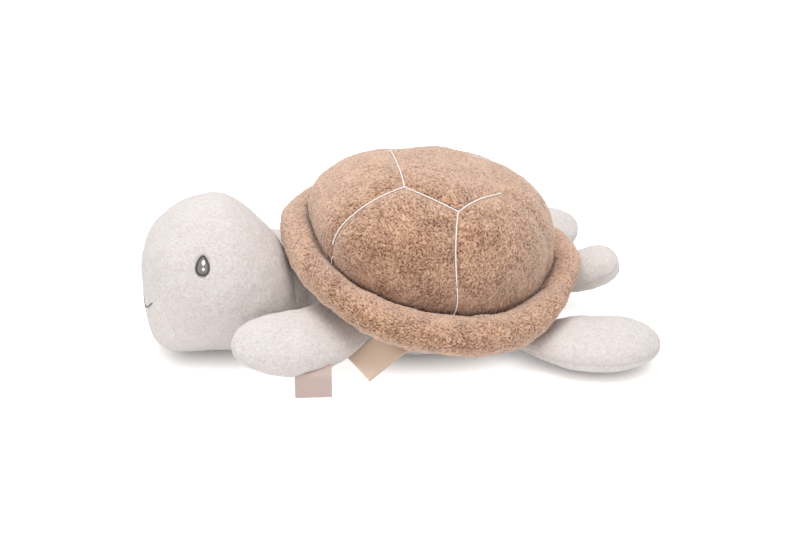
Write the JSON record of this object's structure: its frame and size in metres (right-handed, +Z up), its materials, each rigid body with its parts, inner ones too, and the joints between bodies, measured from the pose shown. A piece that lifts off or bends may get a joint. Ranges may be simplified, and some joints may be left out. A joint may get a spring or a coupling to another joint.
{
  "type": "plush turtle",
  "caption": "Stuffed toy turtle lying on its belly: domed fleece shell with stitched panels, soft rolled rim, terry head, flippers and tail.",
  "frame": {"origin": "middle of the flat place on the belly that rests on the floor", "axes": "+Z up from the floor, -X the way the head points, -Y the turtle's left side"},
  "size_m": [0.3438, 0.2219, 0.1303],
  "materials": {
    "shell_fleece": "brown looped fleece",
    "cream_terry": "cream fine terry",
    "fibre_stuffing": "loose polyester fibre",
    "white_thread": "thick white thread",
    "grey_thread": "dark grey embroidery thread",
    "mauve_ribbon": "matt woven ribbon",
    "gold_ribbon": "satin ribbon"
  },
  "bodies": {
    "body": {"belly_panel": "cream_terry", "body_stuffing": "fibre_stuffing", "rim_label": "gold_ribbon", "rim_stuffing": "fibre_stuffing", "rim_top_strip": "shell_fleece", "rim_under_strip": "shell_fleece", "shell_panel_front": "shell_fleece", "shell_panel_front_left": "shell_fleece", "shell_panel_front_right": "shell_fleece", "shell_panel_rear": "shell_fleece", "shell_panel_rear_left": "shell_fleece", "shell_panel_rear_right": "shell_fleece", "shell_top_panel": "shell_fleece", "side_line_1": "white_thread", "side_line_2": "white_thread", "side_line_3": "white_thread", "side_line_4": "white_thread", "side_line_5": "white_thread", "side_line_6": "white_thread", "top_line_1": "white_thread", "top_line_2": "white_thread", "top_line_3": "white_thread", "top_line_4": "white_thread", "top_line_5": "white_thread", "top_line_6": "white_thread"},
    "head": {"chin_panel": "cream_terry", "eye_left": "grey_thread", "eye_right": "grey_thread", "head_left_panel": "cream_terry", "head_right_panel": "cream_terry", "head_stuffing": "fibre_stuffing", "mouth_stitch": "grey_thread"},
    "front_flipper_left": {"flipper_label": "mauve_ribbon", "front_flipper_left_bottom_panel": "cream_terry", "front_flipper_left_stuffing": "fibre_stuffing", "front_flipper_left_top_panel": "cream_terry"},
    "front_flipper_right": {"front_flipper_right_bottom_panel": "cream_terry", "front_flipper_right_stuffing": "fibre_stuffing", "front_flipper_right_top_panel": "cream_terry"},
    "neck": {"neck_stuffing": "fibre_stuffing"},
    "rear_flipper_left": {"rear_flipper_left_bottom_panel": "cream_terry", "rear_flipper_left_stuffing": "fibre_stuffing", "rear_flipper_left_top_panel": "cream_terry"},
    "rear_flipper_right": {"rear_flipper_right_bottom_panel": "cream_terry", "rear_flipper_right_stuffing": "fibre_stuffing", "rear_flipper_right_top_panel": "cream_terry"},
    "tail": {"tail_bottom_panel": "cream_terry", "tail_stuffing": "fibre_stuffing", "tail_top_panel": "cream_terry"}
  },
  "joints": [
    {"name": "neck_turn", "type": "hinge", "parent": "body", "child": "neck", "pos_m": [-0.096, 0, 0.032], "axis": [0, 0, 1], "range_deg": [-4, 4], "stiffness_Nm_per_rad": 0.4},
    {"name": "head_nod", "type": "hinge", "parent": "neck", "child": "head", "pos_m": [-0.096, 0, 0.032], "axis": [0, 1, 0], "range_deg": [-12, 4], "stiffness_Nm_per_rad": 0.8, "springref_deg": 1.72},
    {"name": "front_flipper_left_flap", "type": "hinge", "parent": "body", "child": "front_flipper_left", "pos_m": [-0.06771, -0.05477, 0.036], "axis": [-0.636, 0.6396, 0.4317], "range_deg": [-2, 15], "stiffness_Nm_per_rad": 0.06},
    {"name": "front_flipper_right_flap", "type": "hinge", "parent": "body", "child": "front_flipper_right", "pos_m": [-0.06771, 0.05477, 0.036], "axis": [0.636, 0.6396, -0.4317], "range_deg": [-2, 15], "stiffness_Nm_per_rad": 0.06},
    {"name": "rear_flipper_left_flap", "type": "hinge", "parent": "body", "child": "rear_flipper_left", "pos_m": [0.05321, -0.05109, 0.0128], "axis": [-0.6157, -0.788, 0], "range_deg": [-15, 8], "stiffness_Nm_per_rad": 0.06},
    {"name": "rear_flipper_right_flap", "type": "hinge", "parent": "body", "child": "rear_flipper_right", "pos_m": [0.05292, 0.05141, 0.0128], "axis": [0.7431, -0.6691, 0], "range_deg": [-15, 6], "stiffness_Nm_per_rad": 0.06},
    {"name": "tail_flap", "type": "hinge", "parent": "body", "child": "tail", "pos_m": [0.08244, 0, 0.0185], "axis": [0, -1, 0], "range_deg": [-15, 4], "stiffness_Nm_per_rad": 0.03}
  ]
}
